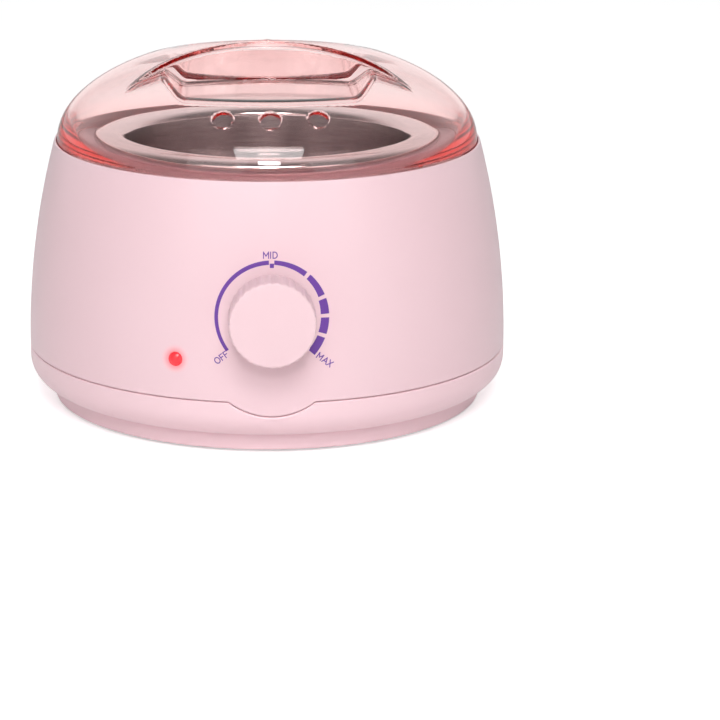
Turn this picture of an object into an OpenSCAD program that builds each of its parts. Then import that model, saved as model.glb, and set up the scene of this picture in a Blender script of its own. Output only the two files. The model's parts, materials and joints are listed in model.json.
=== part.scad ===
// Wax warmer pot: a heated barrel housing, a lift-out pot and a clear dome lid.
// Millimetres. +Z is up, the control knob faces -Y, and z = 0 is the table.

/* [Housing] */
// Radius of the housing at its seam, where it is widest
body_r = 90; // [89:0.5:91]
// Height of the housing's rim above the table
rim_z = 98.5; // [98:0.1:99]
// Radius of the barrel curve of the side wall
barrel_r = 297; // [285:1:310]
// Wall thickness of the moulded shells
wall = 2.5; // [2.2:0.1:2.6]
// Height of the seam between the upper housing and the base
seam_z = 21.1; // [20.8:0.1:21.4]
// Gap left open at the seam
seam_gap = 0.3; // [0.2:0.05:0.4]
// Depth of the dip in the seam under the knob
dip_depth = 5.1; // [4.5:0.1:5.5]
// Radius of that dip
dip_r = 25.5; // [24:0.5:27]

/* [Base] */
// Radius of the recessed foot ring
foot_ring_r = 80.7; // [80:0.1:81]
// Height of the lower edge of the base's band
band_z = 7.5; // [7:0.1:8]
// Radius of the band's rounded lower corner
band_corner = 9.5; // [9:0.1:10]
// How far the rubber feet stand out below the foot ring
foot_proud = 1; // [0.5:0.1:1.5]

/* [Lid] */
// Outer radius of the lid
lid_r = 78.7; // [78.4:0.1:78.7]
// Height of the dome above the housing's rim
lid_rise = 36.5; // [36:0.1:37]
// Wall thickness of the lid
lid_wall = 1.8; // [1.6:0.1:2.4]
// Wall thickness of the lid's skirt inside the housing's rim
lid_edge_t = 4; // [3:0.1:4.2]
// Plan radius of the two curved walls of the handle
fin_curve_r = 58; // [57:0.5:59]
// Thickness of the handle at its middle
fin_t = 5; // [4.5:0.1:5.5]
// Half width of a finger pocket's floor
pocket_half_w = 31; // [30:0.5:32]
// Radius of the vent holes
vent_r = 3.5; // [3:0.1:3.8]

/* [Pot] */
// Outer radius of the pot's rolled rim
pot_rim_r = 65.6; // [65:0.1:66]
// Height of the top of the pot's rim
pot_rim_z = 101; // [100.5:0.1:102]
// Outer radius of the pot's wall below the rim
pot_r = 54.6; // [54:0.1:59]
// Wall thickness of the pot and of the heating well
sheet_t = 1.2; // [1:0.1:1.3]
// Height of the underside of the pot
pot_floor_z = 38.2; // [38:0.1:39]

/* [Controls] */
// Radius of the knob
knob_r = 15.3; // [15:0.1:15.5]
// Height of the knob's axis
knob_z = 52.5; // [52:0.5:53]
// Distance of the knob's face from the housing's axis
knob_face = 102; // [101:0.5:103]
// Number of grip flutes round the knob
flutes = 33; // [28:1:40]
// Depth of a grip flute
flute_depth = 0.4; // [0.3:0.05:0.5]
// Sideways place of the indicator lens
lens_x = -34; // [-36:0.5:-32]
// Height of the indicator lens
lens_z = 35.6; // [35:0.1:36]
// Radius of the indicator lens
lens_r = 2.5; // [2.3:0.1:2.6]

/* [Hidden] */
$fn = 96;
eps = 0.01;

// Housing
arc_x = body_r - barrel_r;
upper_z0 = seam_z + seam_gap / 2;
base_z1 = seam_z - seam_gap / 2;
tongue_r = body_r - wall - 0.2;
tongue_t = 1.1;
tongue_z1 = seam_z + 2.4;
dip_z = seam_z - dip_depth + dip_r;
ledge_z = rim_z - 4.5;
lip_in_r = lid_r + 0.3;
shelf_r = 75;
shelf_z0 = 91.2;
shelf_z1 = 92.9;
ring_seat_r = 77;
deck_z0 = shelf_z1 + 0.1;
deck_z = 95;
deck_in_r = 63.8;
collar_z0 = 90.5;

// Base
foot_ring_z = foot_proud;
floor_z0 = 3.5;
floor_z1 = 6;
screw_ring_r = 74;
screw_angles = [30, 150, 210, 330];
foot_ring_place_r = 66;
foot_angles = [60, 120, 240, 300];
boss_z0 = 9.2;
boss_z1 = 34;

// Lid
lid_z0 = ledge_z + 0.15;
fin_off = fin_curve_r + fin_t / 2;
pocket_z = 120;
pocket_fall = 3.2;
shoulder_in = [37.5, 125.8];
shoulder_out = [57, 119.5];
vent_place_r = 66.8;
vent_tilt = 36.7;
vent_pitch = 14.7;

// Pot and well
well_in_r = 60.8;
well_r = well_in_r + sheet_t;
well_floor_z1 = pot_floor_z - 0.2;
well_floor_z0 = well_floor_z1 - 1.5;
well_top_z = 94.7;
flange_z0 = 84.8;
flange_z1 = 86;
flange_r = 72;
well_screw_r = 68;
well_screw_angles = [45, 135, 225, 315];

// Heater
band_r0 = well_r + 0.2;
band_t = 2;
heater_z0 = 44;
heater_z1 = 66;
clamp_r0 = band_r0 + band_t + 0.1;
clamp_t = 0.5;
clamp_z0 = 50;
clamp_z1 = 60;
clamp_angle = 180;

// Knob and thermostat: distances are along -Y from the housing's axis
knob_back = 89.9;
spindle_r = 3;
spindle_back = 76;
spindle_end = 98.5;
barrel_hole_r = 5.2;
bushing_r = 5;
bushing_bore_r = spindle_r + 0.05;
bushing_end = 91.3;
hub_clip_y = bushing_end + 2;
plate_y0 = 83.6;
plate_y1 = 84.6;
plate_z0 = 26;
plate_z1 = 58.5;
stack_z = 32.5;
leaf_w = 7;
leaf_t = 0.4;
leaf_z0 = 20;
leaf_z1 = 58;
leaf_a_y = 74;
leaf_b_y = 70.8;
bimetal_y = 67.9;
bimetal_t = 0.7;
contact_z = 56;

// Indicator
lens_angle = -90 - asin(-lens_x / body_r);
lens_seat_r = 86.9;

// Cord inlet
gland_z = 30;
gland_bore_r = 3.2;
gland_end = knob_face;
clamp_post_x = 10;
clamp_post_y = 72;
clamp_post_z1 = 24;

// Terminal block
block_y = 60;
block_size = [30, 14, 10];
block_z0 = floor_z1 + 0.2;
pole_pitch = 9;

// Thermal fuse
fuse_angle = -50;
fuse_r = 66.2;
fuse_z = 74;

// Wires
wire_r = 1.1;
wire_sides = 8;
wire_steps = 6;
live_route = [[9, 51.5, 11.5], [20, 36, 13], [31, 6, 14], [28, -32, 14], [14, -56, 12],
    [3, -66, 10.5], [-1, -73, 13], [-1.5, -74.2, 18.8]];
neutral_route = [[-9, 51.5, 11.5], [-16, 44, 14], [-26, 48, 22], [-30, 60, 32], [-24, 68, 43],
    [-16, 70.5, 54], [-13.4, 68.9, 62]];
switched_route = [[2.2, -71, 18.8], [6, -71.5, 15.8], [15, -72, 22], [26, -70, 36], [34, -64, 54],
    [33.5, -60, 68], [35.7, -56.7, 73.6]];
heater_route = [[48.8, -45.5, 74], [58, -38, 76], [68, -15, 77], [70, 10, 77], [62, 36, 75],
    [42, 58, 71], [24, 68.6, 66], [13.4, 69, 62]];
lamp_live_route = [[-23.9, -58.3, 35.4], [-21, -62, 28], [-10, -68, 18], [-1.5, -70.4, 18.6]];
lamp_neutral_route = [[-30, -69.1, 35.2], [-33, -64, 28], [-39, -42, 16], [-37, 0, 13],
    [-26, 36, 13], [-11.5, 51.2, 13.5]];

// ---- Helpers ----

// A round ring between two radii and two heights
module ring(r0, r1, z0, z1) {
    rotate_extrude()
        translate([r0, z0])
            square([r1 - r0, z1 - z0]);
}

// Children placed at a plan angle and radius, at a height
module polar(angle, r, z) {
    rotate([0, 0, angle])
        translate([r, 0, z])
            children();
}

// Children on the knob's axis: local +Z points along -Y and local +Y is up
module knob_axis() {
    translate([0, 0, knob_z])
        rotate([90, 0, 0])
            children();
}

// A box centred on x, between two distances along -Y and two heights
module front_plate(w, y0, y1, z0, z1) {
    translate([-w / 2, -y1, z0])
        cube([w, y1 - y0, z1 - z0]);
}

// Arc points about a centre, from one angle to another
function arc(cx, cy, r, a0, a1, n) =
    [for (i = [0:n]) let (a = a0 + (a1 - a0) * i / n) [cx + r * cos(a), cy + r * sin(a)]];

// Points of a smooth curve through a list of points
function curve_at(a, b, c, d, t) =
    0.5 * (2 * b + (c - a) * t + (2 * a - 5 * b + 4 * c - d) * t * t
        + (3 * b - a - 3 * c + d) * t * t * t);
function smooth_route(p) = concat(
    [for (i = [0:len(p) - 2]) for (k = [0:wire_steps - 1])
        curve_at(p[max(i - 1, 0)], p[i], p[i + 1], p[min(i + 2, len(p) - 1)], k / wire_steps)],
    [p[len(p) - 1]]);
function unit(v) = v / norm(v);

// A round wire along a route; side is a direction that the route never follows
module wire(route, side) {
    p = smooth_route(route);
    n = len(p);
    rings = [for (i = [0:n - 1])
        let (t = unit(p[min(i + 1, n - 1)] - p[max(i - 1, 0)]))
        let (u = unit(cross(t, side)))
        let (v = cross(t, u))
        for (k = [0:wire_sides - 1])
            let (a = 360 * k / wire_sides)
            p[i] + wire_r * (cos(a) * u + sin(a) * v)];
    skin = [for (i = [0:n - 2]) for (k = [0:wire_sides - 1])
        let (m = (k + 1) % wire_sides)
        [i * wire_sides + k, (i + 1) * wire_sides + k,
            (i + 1) * wire_sides + m, i * wire_sides + m]];
    start_cap = [[for (k = [0:wire_sides - 1]) k]];
    end_cap = [[for (k = [0:wire_sides - 1]) n * wire_sides - 1 - k]];
    polyhedron(rings, concat(skin, start_cap, end_cap), convexity = 6);
}

// A pan-head screw that points up, its head's underside at z = 0
module pan_screw(r, length, head_r, head_h) {
    translate([0, 0, -eps])
        cylinder(r = r, h = length + eps);
    translate([0, 0, -head_h])
        difference() {
            cylinder(r = head_r, h = head_h);
            for (a = [0, 90])
                rotate([0, 0, a])
                    translate([-head_r * 0.65, -0.4, -eps])
                        cube([head_r * 1.3, 0.8, head_h * 0.5]);
        }
}

// ---- Housing ----

// Half section of the upper housing: barrel wall, rim lip, lid ledge and the deck ring's shelf
module upper_profile() {
    low_z = dip_z - dip_r - 1;
    difference() {
        intersection() {
            translate([arc_x, seam_z])
                circle(r = barrel_r, $fn = 1440);
            polygon([[shelf_r, shelf_z0], [shelf_r, shelf_z1], [ring_seat_r, shelf_z1],
                [ring_seat_r, ledge_z], [lip_in_r, ledge_z], [lip_in_r, rim_z], [100, rim_z],
                [100, low_z], [shelf_r, low_z]]);
        }
        intersection() {
            translate([arc_x, seam_z])
                circle(r = barrel_r - wall, $fn = 1440);
            translate([shelf_r - 1, 0])
                square([100, shelf_z0]);
        }
    }
}

// Everything below the seam except the tab that fills the dip
module below_seam() {
    difference() {
        ring(60, body_r + 5, 0, upper_z0);
        dip_cylinder(dip_r - seam_gap / 2);
    }
}

// Cylinder along Y whose lower part is the outline of the dip
module dip_cylinder(r) {
    translate([0, 0, dip_z])
        rotate([90, 0, 0])
            cylinder(r = r, h = body_r + 5, $fn = 240);
}

// Column for a base screw, tied to the side wall by a rib
module screw_column(angle) {
    difference() {
        polar(angle, screw_ring_r, boss_z0)
            union() {
                cylinder(r = 3.8, h = boss_z1 - boss_z0);
                translate([0, -1, 15])
                    cube([14, 2, 9]);
            }
        polar(angle, screw_ring_r, boss_z0 - 1)
            cylinder(r = 1.5, h = 18);
    }
}

// Boss under the deck for a screw that holds the well's flange
module well_boss(angle) {
    difference() {
        polar(angle, well_screw_r, flange_z1)
            cylinder(r = 3.2, h = deck_z0 - flange_z1 + 0.5);
        polar(angle, well_screw_r, flange_z1 - 1)
            cylinder(r = 1.3, h = 7);
    }
}

// Deck between the pot and the lid: it drops on to the housing's shelf and carries the well
module deck_ring() {
    collar_r = deck_in_r + 2;
    edge_r = 74;
    color("#f6c9d4")
        union() {
            rotate_extrude()
                polygon([[deck_in_r, collar_z0], [deck_in_r, deck_z], [edge_r, deck_z],
                    [edge_r, ledge_z], [ring_seat_r - 0.1, ledge_z], [ring_seat_r - 0.1, deck_z0],
                    [collar_r, deck_z0], [collar_r, collar_z0]]);
            for (a = well_screw_angles)
                well_boss(a);
        }
}

module upper_housing() {
    color("#f6c9d4")
        difference() {
            union() {
                difference() {
                    rotate_extrude()
                        upper_profile();
                    below_seam();
                }
                for (a = screw_angles)
                    screw_column(a);
                knob_axis()
                    translate([0, 0, plate_y1 + 0.1])
                        cylinder(r = 9, h = 2.2);
            }
            knob_axis()
                translate([0, 0, plate_y0 - 5])
                    cylinder(r = barrel_hole_r, h = 15);
            knob_axis()
                translate([0, 0, 88])
                    cylinder(r = 8.2, h = 5);
            polar(lens_angle, 80, lens_z)
                rotate([0, 90, 0])
                    cylinder(r = lens_r + 0.1, h = 15);
            translate([0, 80, gland_z])
                rotate([-90, 0, 0])
                    cylinder(r = 5.2, h = 20);
        }
}

// ---- Base ----

module base_profile() {
    polygon(concat(
        [[0, floor_z0], [foot_ring_r - wall, floor_z0], [foot_ring_r - wall, foot_ring_z],
            [foot_ring_r, foot_ring_z], [foot_ring_r, band_z]],
        arc(body_r - band_corner, band_z + band_corner - 0.3, band_corner, -72, 0, 10),
        [[body_r, base_z1], [tongue_r, base_z1], [tongue_r, tongue_z1],
            [tongue_r - tongue_t, tongue_z1]],
        arc(body_r - band_corner, band_z + band_corner - 0.3, band_corner - wall - 1.3, 0, -80, 8),
        [[foot_ring_r - wall, band_z + wall + 0.3], [foot_ring_r - wall, floor_z1], [0, floor_z1]]));
}

// Vent slots through the floor, in rows either side of the middle
module floor_vents() {
    for (side = [-1, 1])
        for (i = [-3:3])
            translate([side * 22 - 12, i * 8 - 1.5, floor_z0 - 1])
                cube([24, 3, 5]);
}

module base_shell() {
    color("#f3c2ce")
        difference() {
            union() {
                rotate_extrude()
                    base_profile();
                for (a = screw_angles)
                    polar(a, screw_ring_r, floor_z0)
                        cylinder(r = 4, h = boss_z0 - floor_z0 - 0.2);
                for (x = [-clamp_post_x, clamp_post_x])
                    translate([x, clamp_post_y, floor_z1 - 1])
                        cylinder(r = 3.2, h = clamp_post_z1 - floor_z1 + 1);
            }
            intersection() {
                ring(tongue_r, body_r + 1, dip_z - dip_r - 1, seam_z + 0.1);
                dip_cylinder(dip_r + seam_gap / 2);
            }
            for (a = screw_angles)
                polar(a, screw_ring_r, 0) {
                    cylinder(r = 1.8, h = 20);
                    cylinder(r = 3.4, h = floor_z1);
                }
            for (a = foot_angles)
                polar(a, foot_ring_place_r, 0)
                    cylinder(r = 2.3, h = 10);
            for (x = [-clamp_post_x, clamp_post_x])
                translate([x, clamp_post_y, 12])
                    cylinder(r = 1.3, h = 20);
            for (x = [-1, 1])
                translate([x * pole_pitch / 2, block_y, floor_z0 - 1])
                    cylinder(r = 1.3, h = 5);
            floor_vents();
        }
}

module rubber_feet() {
    color("#4a4447")
        for (a = foot_angles)
            polar(a, foot_ring_place_r, 0)
                rotate_extrude()
                    polygon([[0, 0], [5.2, 0], [6, 0.8], [6, floor_z0], [2.2, floor_z0],
                        [2.2, floor_z1], [3, floor_z1 + 0.3], [1.6, floor_z1 + 2.2],
                        [0, floor_z1 + 2.2]]);
}

module base_screws() {
    color("#b9bcc0")
        for (a = screw_angles)
            polar(a, screw_ring_r, floor_z1)
                pan_screw(1.45, 16, 3, 1.9);
}

// ---- Pot and heating well ----

module inner_pot() {
    corner = 6;
    lip_h = 3.6;
    lip_z = pot_rim_z - lip_h;
    lip_w = (pot_rim_r - pot_r + sheet_t) / 2;
    lip_r = pot_rim_r - lip_w;
    foot_r = pot_r - 0.8;
    color("#c9c2c4")
        rotate_extrude()
            polygon(concat(
                [[0, pot_floor_z]],
                arc(foot_r - corner, pot_floor_z + corner, corner, -90, 0, 6),
                [for (a = [180:-15:0])
                    [lip_r + (lip_w - sheet_t) * cos(a), lip_z + (lip_h - sheet_t) * sin(a)]],
                [[pot_rim_r - sheet_t, lip_z - 0.8], [pot_rim_r, lip_z - 0.8]],
                [for (a = [0:15:180]) [lip_r + lip_w * cos(a), lip_z + lip_h * sin(a)]],
                arc(foot_r - corner, pot_floor_z + corner, corner - sheet_t, 0, -90, 6),
                [[0, pot_floor_z + sheet_t]]));
}

module heating_well() {
    color("#b8babd")
        difference() {
            union() {
                ring(well_in_r, well_r, well_floor_z0, well_top_z);
                translate([0, 0, well_floor_z0])
                    cylinder(r = well_r, h = well_floor_z1 - well_floor_z0);
                ring(well_in_r + 0.5, flange_r, flange_z0, flange_z1);
            }
            for (a = well_screw_angles)
                polar(a, well_screw_r, flange_z0 - 1)
                    cylinder(r = 1.6, h = 4);
        }
}

module well_screws() {
    color("#b9bcc0")
        for (a = well_screw_angles)
            polar(a, well_screw_r, flange_z0)
                pan_screw(1.25, 6.5, 2.8, 1.8);
}

// Silicone ring between the well's edge and the deck
module well_seal() {
    color("#e9dfe0")
        rotate_extrude()
            polygon([[62.2, 91], [63.6, 91], [63.6, deck_z + 0.1], [66.4, deck_z + 0.1],
                [66.4, deck_z + 0.6], [65.9, deck_z + 1], [61.2, deck_z + 1],
                [61.2, deck_z], [62.2, deck_z]]);
}

// ---- Heater ----

module heater_band() {
    color("#c9b48a")
        rotate_extrude(angle = 344, start = 98)
            translate([band_r0, heater_z0])
                square([band_t, heater_z1 - heater_z0]);
}

module heater_clamp() {
    gap = 3;
    color("#a9adb2")
        difference() {
            union() {
                rotate_extrude(angle = 360 - 2 * gap, start = clamp_angle + gap)
                    translate([clamp_r0, clamp_z0])
                        square([clamp_t, clamp_z1 - clamp_z0]);
                for (s = [-1, 1])
                    rotate([0, 0, clamp_angle + s * (gap + 0.45)])
                        translate([clamp_r0 + 0.1, -0.4, clamp_z0])
                            cube([9, 0.8, clamp_z1 - clamp_z0]);
            }
            polar(clamp_angle, clamp_r0 + 5.5, (clamp_z0 + clamp_z1) / 2)
                rotate([90, 0, 0])
                    cylinder(r = 1.7, h = 30, center = true);
        }
}

module clamp_screw() {
    color("#c4c7ca")
        polar(clamp_angle, clamp_r0 + 5.5, (clamp_z0 + clamp_z1) / 2)
            rotate([-90, 0, 0])
                translate([0, 0, -5.4])
                    pan_screw(1.45, 14, 2.9, 1.8);
}

module clamp_nut() {
    color("#c4c7ca")
        polar(clamp_angle, clamp_r0 + 5.5, (clamp_z0 + clamp_z1) / 2)
            rotate([-90, 0, 0])
                translate([0, 0, 5.4])
                    difference() {
                        cylinder(r = 3.1, h = 2.4, $fn = 6);
                        translate([0, 0, -1])
                            cylinder(r = 1.5, h = 5);
                    }
}

// Spade terminals at the two ends of the heater band
module heater_terminals() {
    color("#d3b25a")
        for (s = [-1, 1])
            rotate([0, 0, 90 + s * 11])
                translate([band_r0 + band_t + 0.05, -3, clamp_z1 + 1.4])
                    union() {
                        cube([0.8, 6, 4]);
                        translate([0, 1.4, 0])
                            cube([4.4, 3.2, 0.8]);
                    }
}

// ---- Knob and thermostat ----

module knob_outline() {
    flute_r = 1;
    difference() {
        circle(r = knob_r, $fn = 180);
        for (i = [0:flutes - 1])
            rotate(360 * i / flutes)
                translate([knob_r + flute_r - flute_depth, 0])
                    circle(r = flute_r, $fn = 24);
    }
}

module knob() {
    face_edge = 1.4;
    hub_back = bushing_end + 0.6;
    cavity_end = knob_face - 3;
    color("#f6c9d4")
        knob_axis()
            difference() {
                intersection() {
                    translate([0, 0, knob_back])
                        linear_extrude(knob_face - knob_back)
                            knob_outline();
                    rotate_extrude()
                        polygon(concat(
                            [[0, knob_back - 1], [knob_r + 1, knob_back - 1]],
                            [[knob_r + 1, knob_face - face_edge]],
                            arc(knob_r - face_edge, knob_face - face_edge, face_edge, 0, 90, 6),
                            [[0, knob_face]]));
                }
                ring(6.2, knob_r - 2.4, hub_back, cavity_end);
                translate([0, 0, knob_back - 1])
                    cylinder(r = knob_r - 2.4, h = hub_back - knob_back + 1 + eps);
                difference() {
                    translate([0, 0, knob_back])
                        cylinder(r = spindle_r + 0.1, h = spindle_end + 0.2 - knob_back);
                    translate([-5, spindle_r - 0.8, hub_back + 1])
                        cube([10, 5, 20]);
                }
            }
}

// Leaf spring in the flat of the knob's hub
module knob_clip() {
    color("#9aa0a6")
        knob_axis()
            translate([-1.8, spindle_r - 1.15, hub_clip_y])
                cube([3.6, 0.3, 4]);
}

module thermostat_spindle() {
    color("#c8ccd0")
        knob_axis()
            difference() {
                union() {
                    translate([0, 0, spindle_back])
                        cylinder(r = spindle_r, h = spindle_end - spindle_back);
                    translate([0, 0, spindle_back + 2])
                        cylinder(r = 4.2, h = 2);
                    translate([0, 0, leaf_a_y + leaf_t + 0.2])
                        cylinder(r = 1.2, h = spindle_back - leaf_a_y);
                }
                translate([-5, spindle_r - 1.2, bushing_end + 0.8])
                    cube([10, 5, 20]);
            }
}

module thermostat_bushing() {
    color("#d3b25a")
        knob_axis()
            difference() {
                union() {
                    translate([0, 0, plate_y0 - 2.5])
                        cylinder(r = 7, h = 2.4, $fn = 6);
                    translate([0, 0, plate_y0 - 0.2])
                        cylinder(r = bushing_r, h = bushing_end - plate_y0 + 0.2);
                }
                translate([0, 0, plate_y0 - 5])
                    cylinder(r = bushing_bore_r, h = 20);
            }
}

module thermostat_nut() {
    color("#c4c7ca")
        knob_axis()
            translate([0, 0, 88.1])
                difference() {
                    cylinder(r = 7.4, h = 2.4, $fn = 6);
                    translate([0, 0, -1])
                        cylinder(r = bushing_r + 0.05, h = 5);
                }
}

module thermostat_bracket() {
    color("#a9adb2")
        difference() {
            front_plate(16, plate_y0, plate_y1, plate_z0, plate_z1);
            knob_axis()
                cylinder(r = bushing_r + 0.1, h = 100);
            translate([0, 0, stack_z])
                rotate([90, 0, 0])
                    cylinder(r = 1.7, h = 100);
        }
}

// Ceramic spacers that hold the leaves apart
module thermostat_insulators() {
    spans = [[leaf_a_y + leaf_t, plate_y0], [leaf_b_y + leaf_t, leaf_a_y],
        [bimetal_y + bimetal_t, leaf_b_y]];
    color("#efe9e2")
        for (s = spans)
            translate([0, -s[0], stack_z])
                rotate([90, 0, 0])
                    difference() {
                        cylinder(r = 4, h = s[1] - s[0]);
                        translate([0, 0, -1])
                            cylinder(r = 1.7, h = 20);
                    }
}

module thermostat_rivet() {
    color("#d3b25a")
        translate([0, 0, stack_z])
            rotate([90, 0, 0]) {
                translate([0, 0, bimetal_y - 0.9])
                    cylinder(r = 1.5, h = plate_y1 - bimetal_y + 1.7);
                translate([0, 0, bimetal_y - 0.9])
                    cylinder(r = 2.8, h = 0.9);
                translate([0, 0, plate_y1])
                    cylinder(r = 2.8, h = 0.8);
            }
}

// A flat spring leaf fixed in the stack, with its tail as a terminal
module leaf(y, t, z0, z1) {
    difference() {
        front_plate(leaf_w, y, y + t, z0, z1);
        translate([0, 0, stack_z])
            rotate([90, 0, 0])
                cylinder(r = 1.7, h = 100);
    }
}

module adjuster_leaf() {
    color("#c98f4e")
        leaf(leaf_a_y, leaf_t, leaf_z0, leaf_z1);
}

module contact_leaf() {
    color("#d6a35c")
        leaf(leaf_b_y, leaf_t, leaf_z0, leaf_z1);
}

module bimetal_strip() {
    color("#b7a58c")
        leaf(bimetal_y, bimetal_t, stack_z - 4.5, leaf_z1 - 4);
}

module contact_points() {
    gap = 0.8;
    middle = (leaf_a_y + leaf_b_y + leaf_t) / 2;
    color("#d9dcdf")
        translate([0, 0, contact_z])
            rotate([90, 0, 0]) {
                translate([0, 0, leaf_b_y + leaf_t])
                    cylinder(r = 1.6, h = middle - gap / 2 - leaf_b_y - leaf_t);
                translate([0, 0, middle + gap / 2])
                    cylinder(r = 1.6, h = leaf_a_y - middle - gap / 2);
            }
}

// Ceramic pin that carries the bimetal's push to the contact leaf
module bimetal_pin() {
    color("#efe9e2")
        translate([0, -bimetal_y - bimetal_t, contact_z - 5])
            rotate([90, 0, 0])
                cylinder(r = 1, h = leaf_b_y - bimetal_y - bimetal_t);
}

// ---- Thermal fuse ----

module on_fuse_axis() {
    polar(fuse_angle, fuse_r, fuse_z)
        rotate([-90, 0, 0])
            children();
}

module thermal_fuse() {
    color("#c9ccd1")
        on_fuse_axis() {
            translate([0, 0, -5])
                cylinder(r = 1.9, h = 10);
            translate([0, 0, -8])
                cylinder(r = 0.5, h = 16);
        }
}

module fuse_sleeve() {
    color("#f0ede6")
        on_fuse_axis()
            translate([0, 0, -7])
                difference() {
                    cylinder(r = 2.8, h = 14);
                    translate([0, 0, -1])
                        cylinder(r = 2, h = 16);
                }
}

module fuse_clip() {
    color("#a9adb2")
        on_fuse_axis()
            translate([0, 0, -3])
                difference() {
                    union() {
                        cylinder(r = 3.4, h = 6);
                        translate([-4.1, 0, 0])
                            cube([0.7, 7.2, 6]);
                        translate([-3.9, -3.4, 0])
                            cube([3, 6.8, 6]);
                    }
                    translate([0, 0, -1])
                        cylinder(r = 2.85, h = 8);
                }
}

// ---- Indicator ----

module on_lens_axis() {
    polar(lens_angle, 0, lens_z)
        rotate([0, 90, 0])
            children();
}

module indicator_lens() {
    dome_r = 3.2;
    dome_x = 88;
    edge = asin(lens_r / dome_r);
    flat = 8;
    color("#e0142c")
        on_lens_axis()
            rotate_extrude()
                polygon(concat(
                    [[0, dome_x], [1.7, dome_x], [1.7, 80], [lens_r, 80], [lens_r, lens_seat_r - 1.5],
                        [3.6, lens_seat_r - 1.5], [3.6, lens_seat_r], [lens_r, lens_seat_r]],
                    arc(0, dome_x, dome_r, 90 - edge, 90 - flat, 6),
                    [[0, dome_x + dome_r * cos(flat)]]));
}

module indicator_lamp() {
    tip = 87;
    color("#f2b38f")
        on_lens_axis() {
            rotate_extrude()
                polygon(concat([[0, 77], [1.5, 77]], arc(0.5, tip - 1, 1, 0, 90, 5),
                    [[0, tip]]));
            for (s = [-1, 1])
                translate([0, s * 0.7, 75.5])
                    cylinder(r = 0.3, h = 1.6);
        }
}

module lamp_sleeve() {
    color("#f4f1ea")
        on_lens_axis()
            translate([0, 0, 78])
                difference() {
                    cylinder(r = 3.2, h = 7.3);
                    translate([0, 0, -1])
                        cylinder(r = lens_r + 0.05, h = 10);
                }
}

module lamp_resistor() {
    color("#9c6b4a")
        on_lens_axis()
            translate([0, -0.7, 0])
                union() {
                    translate([0, 0, 66])
                        cylinder(r = 1.1, h = 6);
                    translate([0, 0, 64.4])
                        cylinder(r = 0.3, h = 11);
                }
}

// ---- Terminal block and cord inlet ----

module terminal_block() {
    color("#f2efe8")
        translate([0, block_y, block_z0])
            difference() {
                translate([-block_size[0] / 2, -block_size[1] / 2, 0])
                    cube(block_size);
                for (i = [-1:1])
                    translate([i * pole_pitch, 0, 0]) {
                        translate([0, 0, block_size[2] * 0.5])
                            rotate([90, 0, 0])
                                cylinder(r = 1.4, h = 30, center = true);
                        for (s = [-1, 1])
                            translate([0, s * 3.5, block_size[2] * 0.5])
                                cylinder(r = 1.7, h = 10);
                    }
                for (i = [-1, 1])
                    translate([i * pole_pitch / 2, 0, -1])
                        cylinder(r = 1.4, h = 20);
            }
}

module terminal_screws() {
    color("#d3b25a")
        for (i = [-1:1])
            for (s = [-1, 1])
                translate([i * pole_pitch, block_y + s * 3.5, block_z0 + block_size[2] * 0.5 + 1.6])
                    difference() {
                        cylinder(r = 1.6, h = 3);
                        translate([-2, -0.3, 2.2])
                            cube([4, 0.6, 2]);
                    }
}

module block_screws() {
    color("#b9bcc0")
        for (i = [-1, 1])
            translate([i * pole_pitch / 2, block_y, block_z0 + block_size[2] + 0.1])
                mirror([0, 0, 1])
                    pan_screw(1.2, 12.5, 2.2, 1.4);
}

// Bush in the rear wall that the mains lead comes in through
module cord_gland() {
    collar_r = 7;
    color("#4a4447")
        rotate([0, 0, 180])
            translate([0, 0, gland_z])
                rotate([90, 0, 0])
                    rotate_extrude()
                        polygon([[gland_bore_r, 84], [6.3, 84], [6.3, 86.7], [5.1, 86.7],
                            [5.1, 90.2], [collar_r, 90.2], [collar_r, 92.4], [5.6, 93.4],
                            [5.2, gland_end - 0.6], [4.6, gland_end], [gland_bore_r, gland_end]]);
}

module cord_clamp() {
    bar = [28, 8, 3];
    arch_z = 3.4;
    arch_r = 3.4;
    color("#e8e4dc")
        translate([0, clamp_post_y, clamp_post_z1 + 0.1])
            difference() {
                union() {
                    translate([-bar[0] / 2, -bar[1] / 2, 0])
                        cube(bar);
                    translate([0, 0, arch_z - 1])
                        rotate([90, 0, 0])
                            cylinder(r = arch_r + 2, h = bar[1], center = true);
                }
                translate([0, 0, arch_z - 1])
                    rotate([90, 0, 0])
                        cylinder(r = arch_r, h = 20, center = true);
                translate([-arch_r, -10, -10])
                    cube([2 * arch_r, 20, 10 + arch_z - 1]);
                translate([-20, -10, -10])
                    cube([40, 20, 10]);
                for (x = [-clamp_post_x, clamp_post_x])
                    translate([x, 0, -1])
                        cylinder(r = 1.6, h = 10);
            }
}

module cord_clamp_screws() {
    color("#b9bcc0")
        for (x = [-clamp_post_x, clamp_post_x])
            translate([x, clamp_post_y, clamp_post_z1 + 3.2])
                mirror([0, 0, 1])
                    pan_screw(1.25, 12, 2.7, 1.7);
}

// ---- Wires ----

module live_wire() {
    color("#a3633c")
        wire(live_route, [0, 0.2, 1]);
}

module neutral_wire() {
    color("#3f66b5")
        wire(neutral_route, [0, 0, 1]);
}

module switched_wire() {
    color("#b04038")
        wire(switched_route, [0, 1, 0.1]);
}

module heater_wire() {
    color("#b04038")
        wire(heater_route, [0, 0, 1]);
}

module lamp_live_wire() {
    color("#d8d2c8")
        wire(lamp_live_route, [0, 1, 0]);
}

module lamp_neutral_wire() {
    color("#3f66b5")
        wire(lamp_neutral_route, [1, 0, 0]);
}

// ---- Lid ----

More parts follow.
